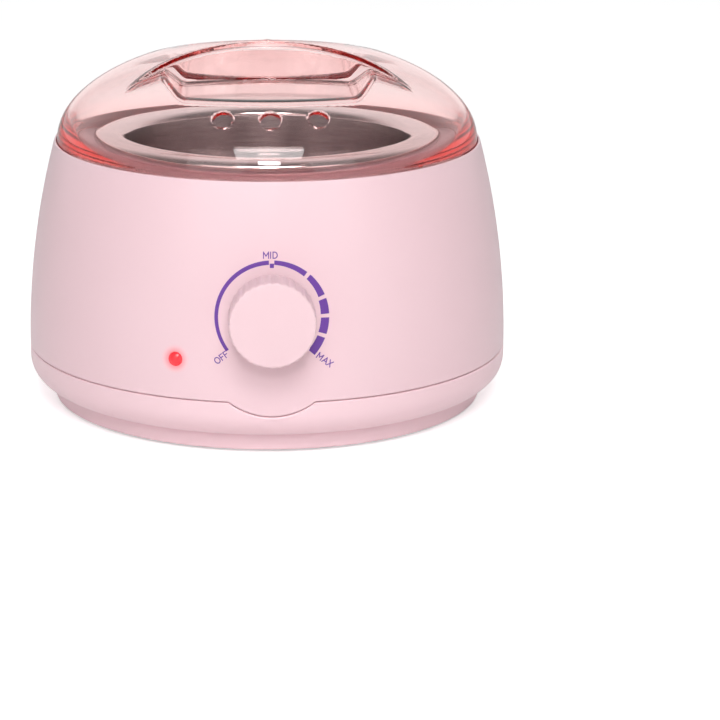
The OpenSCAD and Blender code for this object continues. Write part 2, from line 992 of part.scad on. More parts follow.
// Dome of revolution from the lid's lower edge to its top
module dome(r, rise, z0) {
    rotate_extrude()
        polygon(concat([[0, z0], [r, z0]], arc_ellipse(r, rise, 20)));
}
function arc_ellipse(r, rise, n) =
    [for (i = [0:n]) let (t = 90 * i / n) [i == n ? 0 : r * cos(t), rim_z + rise * sin(t)]];

// Space of one finger pocket, grown by g on the side of the material
module pocket(side, g) {
    s = pocket_half_w + g;
    floor_pts = [[-s, pocket_z - g], [s, pocket_z - g]];
    right_pts = [[shoulder_in[0] + g, shoulder_in[1] - g], [shoulder_out[0] + g, shoulder_out[1] - g]];
    left_pts = [for (i = [1, 0]) [-right_pts[i][0], right_pts[i][1]]];
    top = 150;
    rotate([0, 0, side > 0 ? 0 : 180])
        intersection() {
            translate([0, -fin_off, 100])
                cylinder(r = fin_curve_r + g, h = 60, $fn = 240);
            translate([0, 0, pocket_z])
                rotate([-pocket_fall, 0, 0])
                    translate([0, 2, -pocket_z])
                        rotate([90, 0, 0])
                            linear_extrude(70)
                                polygon(concat(floor_pts, right_pts,
                                    [[right_pts[1][0], top], [left_pts[0][0], top]], left_pts));
        }
}

module vent_holes() {
    for (a = [-vent_pitch, 0, vent_pitch])
        rotate([0, 0, a])
            translate([0, -vent_place_r, rim_z + 19.3])
                rotate([vent_tilt, 0, 0])
                    cylinder(r = vent_r, h = 12, center = true);
}

module lid() {
    core_w = 24;
    color("#e8808a", 0.4)
        difference() {
            union() {
                dome(lid_r, lid_rise, lid_z0);
                translate([0, 0, rim_z + lid_rise - 0.5])
                    cylinder(r = 1.5, h = 0.8);
            }
            difference() {
                dome(lid_r - lid_wall, lid_rise - lid_wall, lid_z0 - 1);
                ring(lid_r - lid_edge_t, lid_r, lid_z0 - 2, rim_z + 0.3);
                pocket(1, lid_wall);
                pocket(-1, lid_wall);
                translate([-core_w / 2, -12, pocket_z - lid_wall])
                    cube([core_w, 24, 30]);
            }
            pocket(1, 0);
            pocket(-1, 0);
            vent_holes();
        }
}

upper_housing();
deck_ring();
base_shell();
rubber_feet();
base_screws();
heating_well();
well_screws();
well_seal();
heater_band();
heater_clamp();
clamp_screw();
clamp_nut();
heater_terminals();
thermostat_bracket();
thermostat_bushing();
thermostat_nut();
thermostat_insulators();
thermostat_rivet();
adjuster_leaf();
contact_leaf();
bimetal_strip();
contact_points();
bimetal_pin();
thermal_fuse();
fuse_sleeve();
fuse_clip();
indicator_lens();
indicator_lamp();
lamp_sleeve();
lamp_resistor();
terminal_block();
terminal_screws();
block_screws();
cord_gland();
cord_clamp();
cord_clamp_screws();
live_wire();
neutral_wire();
switched_wire();
heater_wire();
lamp_live_wire();
lamp_neutral_wire();
knob();
knob_clip();
thermostat_spindle();
inner_pot();
lid();
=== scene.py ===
"""Looks of a wax warmer pot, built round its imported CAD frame.

Lengths are in millimetres, and in metres where a name ends in _m.
"""

import json
import math

import bmesh
import bpy
import numpy as np
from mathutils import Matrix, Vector


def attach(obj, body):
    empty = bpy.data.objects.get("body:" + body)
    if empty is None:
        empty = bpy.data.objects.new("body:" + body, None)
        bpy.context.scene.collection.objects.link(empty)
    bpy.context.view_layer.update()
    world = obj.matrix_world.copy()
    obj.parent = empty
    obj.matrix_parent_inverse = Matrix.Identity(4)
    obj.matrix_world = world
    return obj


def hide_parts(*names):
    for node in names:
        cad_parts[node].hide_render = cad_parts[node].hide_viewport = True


MM = 0.001

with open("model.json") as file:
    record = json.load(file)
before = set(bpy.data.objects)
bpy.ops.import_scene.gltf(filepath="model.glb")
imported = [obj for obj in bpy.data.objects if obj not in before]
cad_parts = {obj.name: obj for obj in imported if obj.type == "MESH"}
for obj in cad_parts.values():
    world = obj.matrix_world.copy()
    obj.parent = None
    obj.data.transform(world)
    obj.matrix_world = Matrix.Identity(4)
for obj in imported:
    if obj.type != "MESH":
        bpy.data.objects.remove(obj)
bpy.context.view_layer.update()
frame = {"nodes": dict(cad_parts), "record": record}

# Sizes of the CAD part that the looks have to meet
BODY_R, BARREL_R, SEAM_Z, RIM_Z = 90.0, 297.0, 21.1, 98.5
WALL, SEAM_GAP = 2.5, 0.3
RIM_IN_R, LEDGE_Z = 79.0, 94.0
SHELF_R, SHELF_Z0, SHELF_Z1, RING_SEAT_R = 75.0, 91.2, 92.9, 77.0
DECK_IN_R, DECK_R, DECK_Z, COLLAR_Z0 = 63.8, 74.0, 95.0, 90.5
DIP_Z, DIP_R = 41.5, 25.5
FOOT_RING_R, BAND_Z, BAND_CORNER, BAND_CENTRE_Z = 80.7, 7.5, 9.5, 16.7
BASE_Z0, BASE_FLOOR_Z0, BASE_FLOOR_Z1 = 1.0, 3.5, 6.0
SPIGOT_R0, SPIGOT_R1, SPIGOT_Z = 86.2, 87.3, 23.5
KNOB_R, KNOB_Z, KNOB_BACK, KNOB_FACE = 15.3, 52.5, 89.9, 102.0
FLUTES, FLUTE_DEPTH = 33, 0.4
LENS_X, LENS_Z, LENS_R = -34.0, 35.6, 2.5
LENS_ANGLE = -90.0 - math.degrees(math.asin(-LENS_X / BODY_R))
POT_R, POT_RIM_R, POT_RIM_Z, POT_FLOOR_Z, SHEET_T = 54.6, 65.6, 101.0, 38.2, 1.2
LID_R, LID_RISE, LID_WALL, SKIRT_T, LID_Z0 = 78.7, 36.5, 1.8, 4.0, 94.15
POCKET_Z, SHOULDER_X, SHOULDER_Z = 120.0, 37.5, 125.8
FIN_CURVE_R, FIN_T = 58.0, 5.0
VENT_R, VENT_PLACE_R, VENT_TILT, VENT_PITCH = 3.5, 66.8, 36.7, 14.7
GLAND_Z = 30.0
SCREW_ANGLES, SCREW_RING_R = (30, 150, 210, 330), 74.0
FOOT_ANGLES, FOOT_PLACE_R = (60, 120, 240, 300), 66.0


# ---- Outlines ----


def arc(cr, cz, radius, a0, a1, steps):
    """Points (r, z, 0) of an arc about a centre, between two angles in degrees."""
    turns = np.radians(np.linspace(a0, a1, steps + 1))
    return [(cr + radius * math.cos(a), cz + radius * math.sin(a), 0) for a in turns]


def rounded(corners, steps=5):
    """Closed outline of (r, z) points from (r, z, fillet) corners."""
    out = []
    for i, (r, z, fillet) in enumerate(corners):
        p = np.array((r, z), float)
        if not fillet:
            out.append((r, z))
            continue
        u = np.array(corners[i - 1][:2]) - p
        v = np.array(corners[(i + 1) % len(corners)][:2]) - p
        u, v = u / np.linalg.norm(u), v / np.linalg.norm(v)
        half = math.acos(np.clip(u @ v, -1, 1)) / 2
        centre = p + (u + v) / np.linalg.norm(u + v) * fillet / math.sin(half)
        a, b = (p + w * fillet / math.tan(half) - centre for w in (u, v))
        for t in np.linspace(0, 1, steps + 1):
            w = a * (1 - t) + b * t
            out.append(tuple(centre + w * fillet / np.linalg.norm(w)))
    return out


def barrel(z):
    """Radius of the barrel-shaped side wall at a height."""
    return BODY_R - BARREL_R + np.sqrt(BARREL_R**2 - (z - SEAM_Z) ** 2)


def seam(turn):
    """Height of the middle of the seam at a plan angle from the front, in radians."""
    x = BODY_R * math.sin(turn)
    if math.cos(turn) < 0 or abs(x) >= DIP_R:
        return SEAM_Z
    return min(SEAM_Z, DIP_Z - math.sqrt(DIP_R**2 - x * x))


# ---- Meshes ----


def solid(name, points, faces, sharp=35):
    """Mesh object from points, with coincident points merged and smooth shading up to an angle."""
    mesh = bpy.data.meshes.new(name)
    mesh.from_pydata((np.asarray(points, float) * MM).tolist(), [], faces)
    bm = bmesh.new()
    bm.from_mesh(mesh)
    bmesh.ops.remove_doubles(bm, verts=bm.verts, dist=1e-6)
    bmesh.ops.recalc_face_normals(bm, faces=bm.faces)
    bm.to_mesh(mesh)
    bm.free()
    mesh.shade_smooth()
    mesh.set_sharp_from_angle(angle=math.radians(sharp))
    obj = bpy.data.objects.new(name, mesh)
    bpy.context.scene.collection.objects.link(obj)
    return obj


def turned(outline, turns):
    """Points and faces of a closed solid of revolution about Z.

    The outline is a list of (r, z), or a function of the plan angle that gives one. Plan angles are
    radians from the front.
    """
    rings = np.array([outline(t) if callable(outline) else outline for t in turns])
    count, size = rings.shape[:2]
    sin, cos = np.sin(turns)[:, None], np.cos(turns)[:, None]
    points = np.stack([rings[..., 0] * sin, -rings[..., 0] * cos, rings[..., 1]], -1).reshape(-1, 3)
    faces = []
    for j in range(size):
        k = (j + 1) % size
        if rings[0, j, 0] < 1e-9 and rings[0, k, 0] < 1e-9:
            continue
        for i in range(count):
            m = (i + 1) % count
            faces.append((i * size + j, m * size + j, m * size + k, i * size + k))
    return points, faces


def full_turn(steps):
    return np.linspace(0, 2 * math.pi, steps, endpoint=False)


def joined(parts):
    """One list of points and faces from several."""
    points, faces, base = [], [], 0
    for some, polygons in parts:
        points.append(np.asarray(some, float))
        faces += [tuple(base + k for k in f) for f in polygons]
        base += len(some)
    return np.concatenate(points), faces


def tube(x, y, r0, r1, z0, z1, steps=48):
    """Points and faces of an upright ring at a place."""
    points, faces = turned([(r0, z0), (r1, z0), (r1, z1), (r0, z1)], full_turn(steps))
    return points + (x, y, 0), faces


def polar(angle, r):
    return r * math.cos(math.radians(angle)), r * math.sin(math.radians(angle))


def box_faces():
    """Faces of a box whose corners go round its bottom and then round its top."""
    return [(3, 2, 1, 0), (4, 5, 6, 7), *((i, (i + 1) % 4, (i + 1) % 4 + 4, i + 4) for i in range(4))]


def facing(points, angle, z):
    """Turns points built about Z: their Z goes along a plan angle at a height, and their Y goes up."""
    a = math.radians(angle)
    out = np.array((math.cos(a), math.sin(a), 0))
    across = np.array((-math.sin(a), math.cos(a), 0))
    return points[:, :1] * across + points[:, 1:2] * (0, 0, 1) + points[:, 2:] * out + (0, 0, z)


def cut(obj, parts):
    """Cuts closed shapes out of an object."""
    points, faces = joined(parts)
    tool = solid("cutter", points, faces)
    step = obj.modifiers.new("cut", "BOOLEAN")
    step.operation, step.solver, step.object = "DIFFERENCE", "EXACT", tool
    done = bpy.data.meshes.new_from_object(obj.evaluated_get(bpy.context.evaluated_depsgraph_get()))
    obj.modifiers.clear()
    obj.data = done
    bpy.data.objects.remove(tool)


def add(obj, parts):
    """Adds closed shapes that overlap the object, such as inner bosses, as shells of the same mesh."""
    points, faces = joined(parts)
    more = solid("more", points, faces)
    bm = bmesh.new()
    bm.from_mesh(obj.data)
    bm.from_mesh(more.data)
    bm.to_mesh(obj.data)
    bm.free()
    bpy.data.objects.remove(more)


# ---- Materials ----


def nodes_of(name):
    material = bpy.data.materials.new(name)
    material.use_nodes = True
    return material, material.node_tree, material.node_tree.nodes["Principled BSDF"]


def grain(tree, scale, stretch=(1, 1, 1), detail=3.0):
    """Noise in object space, as the socket that carries its value."""
    coords = tree.nodes.new("ShaderNodeTexCoord")
    mapping = tree.nodes.new("ShaderNodeMapping")
    mapping.inputs["Scale"].default_value = stretch
    noise = tree.nodes.new("ShaderNodeTexNoise")
    noise.inputs["Scale"].default_value = scale
    noise.inputs["Detail"].default_value = detail
    tree.links.new(coords.outputs["Object"], mapping.inputs["Vector"])
    tree.links.new(mapping.outputs["Vector"], noise.inputs["Vector"])
    return noise.outputs["Fac"]


def spread(tree, source, low, high):
    """Maps a noise value to a range."""
    node = tree.nodes.new("ShaderNodeMapRange")
    node.inputs["From Min"].default_value, node.inputs["From Max"].default_value = 0.3, 0.7
    node.inputs["To Min"].default_value, node.inputs["To Max"].default_value = low, high
    tree.links.new(source, node.inputs["Value"])
    return node.outputs["Result"]


def tint(tree, source, first, second):
    ramp = tree.nodes.new("ShaderNodeValToRGB")
    ramp.color_ramp.elements[0].position, ramp.color_ramp.elements[1].position = 0.25, 0.75
    ramp.color_ramp.elements[0].color, ramp.color_ramp.elements[1].color = (*first, 1), (*second, 1)
    tree.links.new(source, ramp.inputs["Fac"])
    return ramp.outputs["Color"]


def finish_of(name, colour, rough, metallic=0.0, vary=0.03, scale=90.0, stretch=(1, 1, 1),
              relief=0.0, relief_scale=1500.0, gloss_vary=0.12):
    """Material whose colour, gloss and fine relief all vary by noise."""
    material, tree, shader = nodes_of(name)
    value = grain(tree, scale, stretch)
    dark, light = ([min(1.0, c * k) for c in colour] for k in (1 - vary, 1 + vary))
    tree.links.new(tint(tree, value, dark, light), shader.inputs["Base Color"])
    gloss = spread(tree, value, rough * (1 - gloss_vary), min(1.0, rough * (1 + gloss_vary)))
    tree.links.new(gloss, shader.inputs["Roughness"])
    shader.inputs["Metallic"].default_value = metallic
    if relief:
        bump = tree.nodes.new("ShaderNodeBump")
        bump.inputs["Distance"].default_value = relief * MM
        bump.inputs["Strength"].default_value = 0.4
        tree.links.new(grain(tree, relief_scale, stretch), bump.inputs["Height"])
        tree.links.new(bump.outputs["Normal"], shader.inputs["Normal"])
    return material


def dress(obj, material):
    obj.data.materials.clear()
    obj.data.materials.append(material)


PINK = (0.84, 0.60, 0.645)
housing_pink = finish_of("housing_pink", PINK, 0.3, vary=0.003, scale=40, gloss_vary=0.03,
                         relief=0.004, relief_scale=2600)
# Painted light: base_pink is the housing's pink made lighter, to stand in for light bounced up from the floor
# on to the base.
base_pink = finish_of("base_pink", (0.88, 0.63, 0.675), 0.32, vary=0.003, scale=40, gloss_vary=0.03,
                      relief=0.004, relief_scale=2600)
knob_pink = finish_of("knob_pink", (0.82, 0.585, 0.625), 0.38, vary=0.004, relief=0.006, relief_scale=2200)
pot_metal = finish_of("pot_metal", (0.80, 0.765, 0.765), 0.17, metallic=1.0, vary=0.05, scale=60,
                      stretch=(1, 1, 22), relief=0.002, relief_scale=500)
print_purple = finish_of("print_purple", (0.145, 0.045, 0.34), 0.4, vary=0.04, scale=400)


def lamp_glow(material, place, reach, strength):
    """Red light of the indicator painted on the plastic round it, out to a reach: a painted glow (emission)
    and a painted red tint in the base colour.
    """
    tree = material.node_tree
    shader = tree.nodes["Principled BSDF"]
    coords = tree.nodes.new("ShaderNodeTexCoord")
    away = tree.nodes.new("ShaderNodeVectorMath")
    away.operation = "DISTANCE"
    away.inputs[1].default_value = [c * MM for c in place]
    fade = tree.nodes.new("ShaderNodeMapRange")
    fade.interpolation_type = "SMOOTHERSTEP"
    fade.inputs["From Min"].default_value, fade.inputs["From Max"].default_value = 2 * MM, reach * MM
    fade.inputs["To Min"].default_value, fade.inputs["To Max"].default_value = 1, 0
    power = tree.nodes.new("ShaderNodeMath")
    power.operation = "POWER"
    power.inputs[1].default_value = 2.5
    # Painted light: a red tint mixed into the base colour near the lens, standing for the glow of the lamp on
    # the plastic.
    painted_glow_tint = tree.nodes.new("ShaderNodeMix")
    painted_glow_tint.data_type = "RGBA"
    painted_glow_tint.inputs[7].default_value = (0.9, 0.16, 0.19, 1)
    share = tree.nodes.new("ShaderNodeMath")
    share.operation = "MULTIPLY"
    share.inputs[1].default_value = 0.6
    tree.links.new(power.outputs[0], share.inputs[0])
    tree.links.new(share.outputs[0], painted_glow_tint.inputs[0])
    tree.links.new(shader.inputs["Base Color"].links[0].from_socket, painted_glow_tint.inputs[6])
    tree.links.new(painted_glow_tint.outputs[2], shader.inputs["Base Color"])
    gain = tree.nodes.new("ShaderNodeMath")
    gain.operation = "MULTIPLY"
    gain.inputs[1].default_value = strength
    tree.links.new(coords.outputs["Object"], away.inputs[0])
    tree.links.new(away.outputs["Value"], fade.inputs["Value"])
    tree.links.new(fade.outputs["Result"], power.inputs[0])
    tree.links.new(power.outputs[0], gain.inputs[0])
    tree.links.new(gain.outputs[0], shader.inputs["Emission Strength"])
    shader.inputs["Emission Color"].default_value = (0.9, 0.02, 0.03, 1)


def clear_tinted(name, absorb, density, rough):
    """Clear moulded plastic whose tint deepens with the length of the way through it."""
    material, tree, shader = nodes_of(name)
    shader.inputs["Base Color"].default_value = (1, 1, 1, 1)
    shader.inputs["Transmission Weight"].default_value = 1
    shader.inputs["IOR"].default_value = 1.49
    value = grain(tree, 40)
    tree.links.new(spread(tree, value, rough * 0.5, rough * 1.5), shader.inputs["Roughness"])
    volume = tree.nodes.new("ShaderNodeVolumeAbsorption")
    volume.inputs["Color"].default_value = (*absorb, 1)
    volume.inputs["Density"].default_value = density
    tree.links.new(volume.outputs["Volume"], tree.nodes["Material Output"].inputs["Volume"])
    return material


lid_clear = clear_tinted("lid_clear", (0.96, 0.05, 0.0), 72.0, 0.01)


def lamp_red(name):
    material, tree, shader = nodes_of(name)
    value = grain(tree, 500)
    tree.links.new(tint(tree, value, (0.75, 0.02, 0.03), (0.85, 0.03, 0.04)), shader.inputs["Base Color"])
    shader.inputs["Roughness"].default_value = 0.12
    shader.inputs["Emission Color"].default_value = (1.0, 0.05, 0.06, 1)
    shader.inputs["Emission Strength"].default_value = 0.45
    return material


lens_red = lamp_red("lens_red")

# Finish of the CAD nodes by material slot: colour, roughness, metallic, grain scale, stretch, relief
SLOT_FINISHES = {
    "housing_pink": (PINK, 0.32, 0, 90, (1, 1, 1), 0.004),
    "base_pink": (PINK, 0.32, 0, 90, (1, 1, 1), 0.004),
    "knob_pink": (PINK, 0.36, 0, 90, (1, 1, 1), 0.004),
    "pot_metal": ((0.8, 0.77, 0.77), 0.2, 1, 60, (1, 1, 20), 0.002),
    "well_metal": ((0.75, 0.75, 0.76), 0.34, 1, 60, (1, 1, 30), 0.003),
    "seal_silicone": ((0.83, 0.62, 0.65), 0.5, 0, 120, (1, 1, 1), 0.01),
    "feet_rubber": ((0.07, 0.062, 0.066), 0.75, 0, 200, (1, 1, 1), 0.03),
    "gland_rubber": ((0.8, 0.55, 0.6), 0.55, 0, 200, (1, 1, 1), 0.02),
    "zinc_steel": ((0.62, 0.62, 0.64), 0.3, 1, 300, (1, 1, 1), 0.01),
    "mica": ((0.56, 0.46, 0.3), 0.45, 0, 160, (1, 1, 4), 0.03),
    "strap_steel": ((0.55, 0.56, 0.58), 0.35, 1, 120, (1, 1, 12), 0.005),
    "brass": ((0.72, 0.55, 0.24), 0.3, 1, 300, (1, 1, 1), 0.006),
    "ceramic": ((0.86, 0.83, 0.78), 0.4, 0, 250, (1, 1, 1), 0.01),
    "spring_bronze": ((0.66, 0.42, 0.22), 0.28, 1, 150, (1, 1, 8), 0.003),
    "contact_silver": ((0.82, 0.82, 0.82), 0.22, 1, 500, (1, 1, 1), 0.003),
    "bimetal": ((0.52, 0.46, 0.38), 0.33, 1, 150, (1, 1, 8), 0.004),
    "glass_fibre": ((0.84, 0.82, 0.76), 0.8, 0, 700, (1, 1, 1), 0.08),
    "lens_red": ((0.75, 0.02, 0.03), 0.2, 0, 300, (1, 1, 1), 0.002),
    "lamp_glass": ((0.8, 0.45, 0.3), 0.08, 0, 300, (1, 1, 1), 0.002),
    "resistor_brown": ((0.33, 0.15, 0.08), 0.45, 0, 400, (1, 1, 1), 0.01),
    "block_white": ((0.86, 0.85, 0.81), 0.42, 0, 120, (1, 1, 1), 0.006),
    "wire_brown": ((0.28, 0.12, 0.06), 0.45, 0, 200, (1, 1, 1), 0.01),
    "wire_blue": ((0.05, 0.14, 0.5), 0.45, 0, 200, (1, 1, 1), 0.01),
    "wire_red": ((0.5, 0.05, 0.04), 0.45, 0, 200, (1, 1, 1), 0.01),
    "wire_white": ((0.78, 0.76, 0.71), 0.5, 0, 200, (1, 1, 1), 0.01),
    "spring_steel": ((0.5, 0.51, 0.53), 0.25, 1, 150, (1, 1, 8), 0.003),
    "spindle_steel": ((0.64, 0.65, 0.66), 0.25, 1, 150, (1, 8, 1), 0.004),
    "lid_clear": ((0.9, 0.5, 0.5), 0.1, 0, 90, (1, 1, 1), 0.0),
}


# ---- Camera and light ----


def make_camera():
    """The photograph's view: a long lens from a little above the lid's rim."""
    distance_m, elevation, azimuth = 1.074, math.radians(13.8), math.radians(1.1)
    target = Vector((0, 0, KNOB_Z * MM))
    level = math.cos(elevation)
    back = Vector((-math.sin(azimuth) * level, -math.cos(azimuth) * level, math.sin(elevation)))
    camera = bpy.data.objects.new("camera", bpy.data.cameras.new("camera"))
    camera.location = target + back * distance_m
    camera.rotation_mode = "QUATERNION"
    camera.rotation_quaternion = (-back).to_track_quat("-Z", "Y")
    camera.data.lens, camera.data.sensor_width = 141.6, 36
    camera.data.shift_x, camera.data.shift_y = 0.129, -0.145
    bpy.context.scene.collection.objects.link(camera)
    bpy.context.scene.camera = camera


def softbox(name, place_m, size_m, power, aim_m=(0, 0, 0.07)):
    light = bpy.data.lights.new(name, "AREA")
    light.shape, light.size, light.size_y = "RECTANGLE", *size_m
    light.energy = power
    obj = bpy.data.objects.new(name, light)
    obj.location = place_m
    obj.rotation_mode = "QUATERNION"
    obj.rotation_quaternion = (Vector(aim_m) - Vector(place_m)).to_track_quat("-Z", "Y")
    obj.visible_camera = False
    bpy.context.scene.collection.objects.link(obj)


def make_world():
    """White behind the object, a lit cyclorama at the back and a dim room at the front."""
    world = bpy.data.worlds.new("studio")
    world.use_nodes = True
    bpy.context.scene.world = world
    tree = world.node_tree
    sky = tree.nodes["Background"]
    coords = tree.nodes.new("ShaderNodeTexCoord")
    split = tree.nodes.new("ShaderNodeSeparateXYZ")
    depth = tree.nodes.new("ShaderNodeMapRange")
    depth.interpolation_type = "SMOOTHSTEP"
    depth.inputs["From Min"].default_value, depth.inputs["From Max"].default_value = -0.1, 0.75
    depth.inputs["To Min"].default_value, depth.inputs["To Max"].default_value = 0.15, 1.0
    path = tree.nodes.new("ShaderNodeLightPath")
    choose = tree.nodes.new("ShaderNodeMix")
    choose.inputs["B"].default_value = 1.0
    tree.links.new(coords.outputs["Generated"], split.inputs[0])
    tree.links.new(split.outputs["Y"], depth.inputs["Value"])
    tree.links.new(depth.outputs["Result"], choose.inputs["A"])
    tree.links.new(path.outputs["Is Camera Ray"], choose.inputs["Factor"])
    tree.links.new(choose.outputs["Result"], sky.inputs["Color"])
    sky.inputs["Strength"].default_value = 1.0


def make_floor():
    """White paper that looks lit from behind wherever it is seen straight on or through the lid."""
    half = 4000
    corners = [(-half, -half, 0), (half, -half, 0), (half, half, 0), (-half, half, 0)]
    floor = solid("floor", corners, [(0, 1, 2, 3)])
    paper = finish_of("floor_paper", (0.9, 0.9, 0.9), 0.7, vary=0.004, scale=3, relief=0.01,
                      relief_scale=400)
    tree = paper.node_tree
    shader = tree.nodes["Principled BSDF"]
    path = tree.nodes.new("ShaderNodeLightPath")
    direct = tree.nodes.new("ShaderNodeMath")
    direct.operation = "MAXIMUM"
    tree.links.new(path.outputs["Is Camera Ray"], direct.inputs[0])
    tree.links.new(path.outputs["Is Transmission Ray"], direct.inputs[1])
    seen = tree.nodes.new("ShaderNodeMath")
    seen.operation = "MULTIPLY_ADD"
    seen.inputs[1].default_value, seen.inputs[2].default_value = 0.47, 0.03
    tree.links.new(direct.outputs[0], seen.inputs[0])
    tree.links.new(seen.outputs[0], shader.inputs["Emission Strength"])
    shader.inputs["Emission Color"].default_value = (1, 1, 1, 1)
    dress(floor, paper)


bpy.context.scene.view_settings.view_transform = "Standard"
paths = bpy.context.scene.cycles
paths.max_bounces, paths.glossy_bounces, paths.transmission_bounces = 32, 24, 24
make_camera()
make_world()
make_floor()
softbox("key_overhead", (0.0, -0.78, 0.85), (0.6, 0.36), 6.1)
softbox("key_front", (0.0, -1.4, 0.82), (0.3, 0.22), 4.5)
softbox("fill_left", (-1.0, -1.8, 0.9), (1.2, 1.2), 6.0)
softbox("fill_right", (1.2, -1.7, 0.7), (0.9, 0.9), 3.4)


# ---- Housing and base ----

dip_half = math.asin(math.sqrt(DIP_R**2 - (DIP_Z - SEAM_Z) ** 2) / BODY_R)
BODY_TURNS = np.concatenate([
    np.linspace(-dip_half, dip_half, 33)[:-1],
    np.linspace(dip_half, 2 * math.pi - dip_half, 289)[:-1],
])


def housing_outline(turn):
    """Section of the upper housing at a plan angle: shelf, ledge, rim, side wall."""
    low = seam(turn) + SEAM_GAP / 2
    outer = [(barrel(z), z, 0) for z in np.linspace(RIM_Z - 1.5, low + 1.2, 58)]
    inner = [(barrel(z) - WALL, z, 0) for z in np.linspace(low + 2, 89.5, 18)]
    return rounded([(SHELF_R, SHELF_Z0, 0.4), (SHELF_R, SHELF_Z1, 0.3), (RING_SEAT_R, SHELF_Z1, 0.2),
                    (RING_SEAT_R, LEDGE_Z, 0.2), (RIM_IN_R, LEDGE_Z, 0.3), (RIM_IN_R, RIM_Z, 0.3),
                    (barrel(RIM_Z), RIM_Z, 0.35), *outer, (barrel(low), low, 0.6),
                    (barrel(low) - WALL, low, 0.3), *inner, (barrel(SHELF_Z0) - WALL, SHELF_Z0, 0.5)])


def base_outline(turn):
    """Section of the base at a plan angle: foot ring, band up to the seam, spigot, floor."""
    top = seam(turn) - SEAM_GAP / 2
    cr = BODY_R - BAND_CORNER
    side_z = min(BAND_CENTRE_Z, top - 0.8)
    end = math.degrees(math.asin((side_z - BAND_CENTRE_Z) / BAND_CORNER))
    top_r = cr + math.sqrt(BAND_CORNER**2 - min(0, top - BAND_CENTRE_Z) ** 2)
    side = [(top_r, z, 0) for z in np.linspace(side_z, top - 0.75, 4)[1:]]
    foot_in = FOOT_RING_R - WALL
    inner_corner = SPIGOT_R0 - cr
    return rounded([(0, BASE_FLOOR_Z0, 0), (foot_in, BASE_FLOOR_Z0, 0.3), (foot_in, BASE_Z0, 0.5),
                    (FOOT_RING_R, BASE_Z0, 0.8), (FOOT_RING_R, BAND_Z, 0.5),
                    *arc(cr, BAND_CENTRE_Z, BAND_CORNER, -72, end, 14), *side,
                    (top_r, top, 0.6), (SPIGOT_R1, top, 0), (SPIGOT_R1, SPIGOT_Z, 0.2),
                    (SPIGOT_R0, SPIGOT_Z, 0.2),
                    *arc(cr, BAND_CENTRE_Z, inner_corner, 0, -80, 10), (foot_in, 10.3, 0.5),
                    (foot_in, BASE_FLOOR_Z1, 0.6), (0, BASE_FLOOR_Z1, 0)])


def smooth_barrel(mesh):
    """Gives the side wall the normals of the true barrel, so that the cuts don't show in its gloss."""
    points = np.array([v.co for v in mesh.vertices]) / MM
    r = np.hypot(points[:, 0], points[:, 1])
    on_wall = np.abs(r - barrel(points[:, 2])) < 0.03
    flat = (r + BARREL_R - BODY_R) / r
    true = np.stack([points[:, 0] * flat, points[:, 1] * flat, points[:, 2] - SEAM_Z], -1) / BARREL_R
    normals = np.array([n.vector for n in mesh.corner_normals])
    for face in mesh.polygons:
        if on_wall[list(face.vertices)].all():
            normals[face.loop_start:face.loop_start + face.loop_total] = true[list(face.vertices)]
    mesh.normals_split_custom_set(normals.tolist())


def make_housing():
    """Upper housing with the bores for the spindle, the knob's collar, the lens and the gland."""
    obj = solid("housing_shell", *turned(housing_outline, BODY_TURNS))
    for angle, z, r, deep, steps in ((-90, KNOB_Z, 5.2, 78, 96), (-90, KNOB_Z, 8.2, 88, 96),
                                     (LENS_ANGLE, LENS_Z, LENS_R + 0.1, 80, 64), (90, GLAND_Z, 5.2, 80, 64)):
        points, faces = turned([(0, deep), (r, deep), (r, 95), (0, 95)], full_turn(steps))
        cut(obj, [(facing(points, angle, z), faces)])
    add(obj, [tube(*polar(a, SCREW_RING_R), 1.5, 3.8, 9.2, 34) for a in SCREW_ANGLES])
    smooth_barrel(obj.data)
    dress(obj, housing_pink)
    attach(obj, "housing")
    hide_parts("upper_housing")


def make_deck():
    """Deck ring that lies on the housing's shelf, with the four bosses of the well's screws."""
    edge_r, collar_r, low = RING_SEAT_R - 0.1, DECK_IN_R + 2, SHELF_Z1 + 0.1
    outline = rounded([(DECK_IN_R, COLLAR_Z0, 0.3), (DECK_IN_R, DECK_Z, 0.6), (DECK_R, DECK_Z, 0.4),
                       (DECK_R, LEDGE_Z, 0.2), (edge_r, LEDGE_Z, 0.2), (edge_r, low, 0.2),
                       (collar_r, low, 0.5), (collar_r, COLLAR_Z0, 0.3)])
    obj = solid("deck_trim", *turned(outline, full_turn(288)))
    add(obj, [tube(*polar(a, 68), 1.3, 3.2, 86, 93.5) for a in (45, 135, 225, 315)])
    dress(obj, housing_pink)
    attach(obj, "housing")
    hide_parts("deck_ring")


def make_base():
    """Base with two rows of vent slots and the holes for its screws and feet."""
    obj = solid("base_band", *turned(base_outline, BODY_TURNS))
    slot_x, slot_pitch, half_l, half_w = 22, 8, 12, 1.5
    slots = []
    for side in (-1, 1):
        for row in range(-3, 4):
            x, y = side * slot_x, row * slot_pitch
            corners = [(x + i * half_l, y + j * half_w, z)
                       for z in (2, 7) for i, j in ((-1, -1), (1, -1), (1, 1), (-1, 1))]
            slots.append((corners, box_faces()))
    holes = [tube(*polar(a, SCREW_RING_R), 0, 3.4, 2, 7) for a in SCREW_ANGLES]
    holes += [tube(*polar(a, FOOT_PLACE_R), 0, 2.3, 2, 7) for a in FOOT_ANGLES]
    cut(obj, slots + holes)
    add(obj, [tube(*polar(a, SCREW_RING_R), 1.8, 4, 6, 9) for a in SCREW_ANGLES]
        + [tube(x, 72, 1.3, 3.2, 5.5, 24) for x in (-10, 10)])
    dress(obj, base_pink)
    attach(obj, "housing")
    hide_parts("base_shell")


make_housing()
make_deck()
make_base()
# The housing's pink gets a painted red glow and a painted red tint round the lens.
lamp_glow(housing_pink, (LENS_X, -math.sqrt(barrel(LENS_Z) ** 2 - LENS_X**2), LENS_Z), 7.0, 0.2)


# ---- Knob ----


